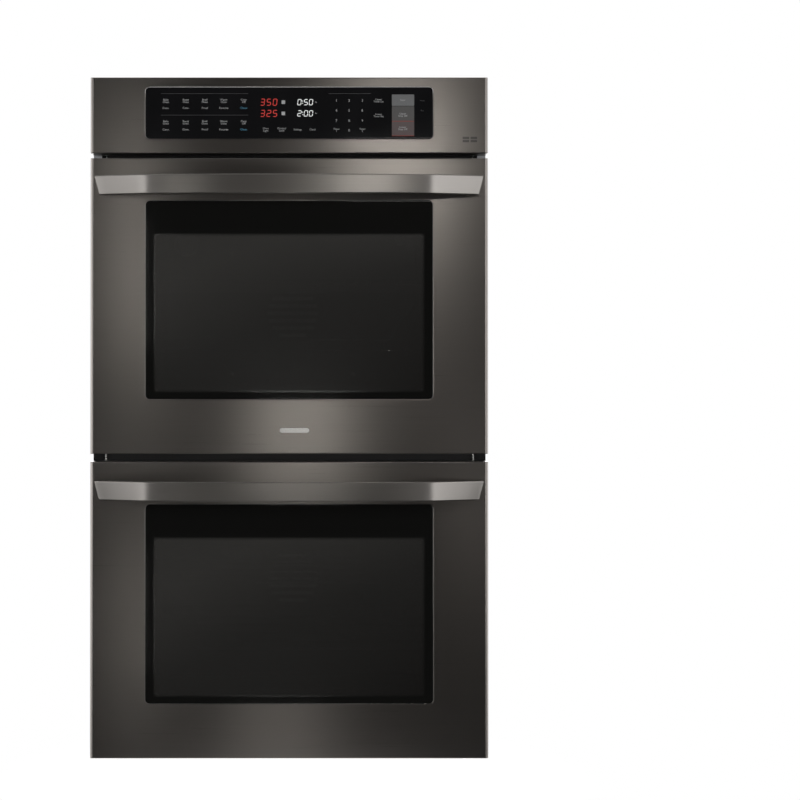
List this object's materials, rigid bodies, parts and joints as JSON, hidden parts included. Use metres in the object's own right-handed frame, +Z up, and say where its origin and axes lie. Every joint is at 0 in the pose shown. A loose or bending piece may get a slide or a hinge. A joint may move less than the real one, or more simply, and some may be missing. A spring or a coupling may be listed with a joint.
{
  "type": "wall oven",
  "caption": "Built-in double wall oven: two insulated cavities, each behind a windowed drop-down door with a bowed handle, under one flat control fascia.",
  "frame": {"origin": "on the floor plane of the base pan, under the middle of the overall footprint", "axes": "+Z up, front (doors and fascia) faces -Y, +X to the right as seen from the front"},
  "size_m": [0.756, 0.6966, 1.294],
  "materials": {
    "black_stainless": "black stainless sheet, brushed along x",
    "handle_stainless": "brushed bar",
    "black_glass": "black-backed glass, gloss",
    "inner_glass": "heat-resistant glass",
    "galvanised": "galvanised sheet",
    "porcelain": "speckled dark enamel",
    "insulation": "mineral wool",
    "rack_chrome": "bright chromed wire",
    "element_sheath": "dark oxidised sheath",
    "gasket_grey": "woven glass-fibre tube",
    "board_green": "circuit board",
    "motor_steel": "pressed steel",
    "spring_steel": "plain steel",
    "lamp_glass": "pale glass lens on a ceramic holder"
  },
  "bodies": {
    "oven": {"base_pan": "galvanised", "left_side_panel": "galvanised", "right_side_panel": "galvanised", "rear_panel": "galvanised", "top_panel": "galvanised", "air_duct": "galvanised", "centre_divider": "galvanised", "junction_box": "galvanised", "control_fascia": "black_stainless", "control_glass": "black_glass", "control_board": "board_green", "lower_cavity": "porcelain", "lower_insulation": "insulation", "lower_broil_element": "element_sheath", "lower_bake_element": "element_sheath", "lower_fan_cover": "porcelain", "lower_fan_motor": "motor_steel", "lower_convection_element": "element_sheath", "lower_lamp": "lamp_glass", "lower_latch_motor": "motor_steel", "lower_gasket": "gasket_grey", "lower_hinge_arm_left": "spring_steel", "lower_hinge_arm_right": "spring_steel", "upper_cavity": "porcelain", "upper_insulation": "insulation", "upper_broil_element": "element_sheath", "upper_bake_element": "element_sheath", "upper_fan_cover": "porcelain", "upper_fan_motor": "motor_steel", "upper_convection_element": "element_sheath", "upper_lamp": "lamp_glass", "upper_latch_motor": "motor_steel", "upper_gasket": "gasket_grey", "upper_hinge_arm_left": "spring_steel", "upper_hinge_arm_right": "spring_steel"},
    "lower_door": {"lower_door_skin": "black_stainless", "lower_door_glass": "black_glass", "lower_door_frame": "galvanised", "lower_door_liner": "porcelain", "lower_door_inner_glass": "inner_glass", "lower_door_handle": "handle_stainless", "lower_hinge_spring_left": "spring_steel", "lower_hinge_spring_right": "spring_steel"},
    "lower_low_rack": {"lower_low_rack": "rack_chrome"},
    "lower_high_rack": {"lower_high_rack": "rack_chrome"},
    "lower_fan": {"lower_fan_blade": "motor_steel"},
    "lower_latch": {"lower_latch_hook": "spring_steel"},
    "upper_door": {"upper_door_skin": "black_stainless", "upper_door_glass": "black_glass", "upper_door_frame": "galvanised", "upper_door_liner": "porcelain", "upper_door_inner_glass": "inner_glass", "upper_door_handle": "handle_stainless", "upper_hinge_spring_left": "spring_steel", "upper_hinge_spring_right": "spring_steel"},
    "upper_low_rack": {"upper_low_rack": "rack_chrome"},
    "upper_high_rack": {"upper_high_rack": "rack_chrome"},
    "upper_fan": {"upper_fan_blade": "motor_steel"},
    "upper_latch": {"upper_latch_hook": "spring_steel"},
    "blower": {"blower_wheel": "motor_steel"}
  },
  "joints": [
    {"name": "lower_door_hinge", "type": "hinge", "parent": "oven", "child": "lower_door", "pos_m": [0, -0.26725, 0.018], "axis": [1, 0, 0], "range_deg": [0, 90], "stiffness_Nm_per_rad": 15, "springref_deg": -14.32},
    {"name": "lower_low_rack_slide", "type": "slide", "parent": "oven", "child": "lower_low_rack", "axis": [0, -1, 0], "range_m": [0, 0.3]},
    {"name": "lower_high_rack_slide", "type": "slide", "parent": "oven", "child": "lower_high_rack", "axis": [0, -1, 0], "range_m": [0, 0.3]},
    {"name": "lower_latch_turn", "type": "hinge", "parent": "oven", "child": "lower_latch", "pos_m": [-0.03, -0.21825, 0.518], "axis": [0, 0, -1], "range_deg": [0, 50]},
    {"name": "lower_fan_spin", "type": "hinge", "parent": "oven", "child": "lower_fan", "pos_m": [0, 0.22675, 0.279], "axis": [0, 1, 0], "continuous": true},
    {"name": "upper_door_hinge", "type": "hinge", "parent": "oven", "child": "upper_door", "pos_m": [0, -0.26725, 0.595], "axis": [1, 0, 0], "range_deg": [0, 90], "stiffness_Nm_per_rad": 15, "springref_deg": -14.32},
    {"name": "upper_low_rack_slide", "type": "slide", "parent": "oven", "child": "upper_low_rack", "axis": [0, -1, 0], "range_m": [0, 0.3]},
    {"name": "upper_high_rack_slide", "type": "slide", "parent": "oven", "child": "upper_high_rack", "axis": [0, -1, 0], "range_m": [0, 0.3]},
    {"name": "upper_latch_turn", "type": "hinge", "parent": "oven", "child": "upper_latch", "pos_m": [-0.03, -0.21825, 1.095], "axis": [0, 0, -1], "range_deg": [0, 50]},
    {"name": "upper_fan_spin", "type": "hinge", "parent": "oven", "child": "upper_fan", "pos_m": [0, 0.22675, 0.856], "axis": [0, 1, 0], "continuous": true},
    {"name": "blower_spin", "type": "hinge", "parent": "oven", "child": "blower", "pos_m": [0, 0.17175, 1.168], "axis": [1, 0, 0], "continuous": true}
  ],
  "couplings": [
    {"joint": "lower_low_rack_slide", "follows": "lower_door_hinge", "m_per_rad": 0.19},
    {"joint": "lower_high_rack_slide", "follows": "lower_door_hinge", "m_per_rad": 0.19},
    {"joint": "upper_low_rack_slide", "follows": "upper_door_hinge", "m_per_rad": 0.19},
    {"joint": "upper_high_rack_slide", "follows": "upper_door_hinge", "m_per_rad": 0.19}
  ]
}
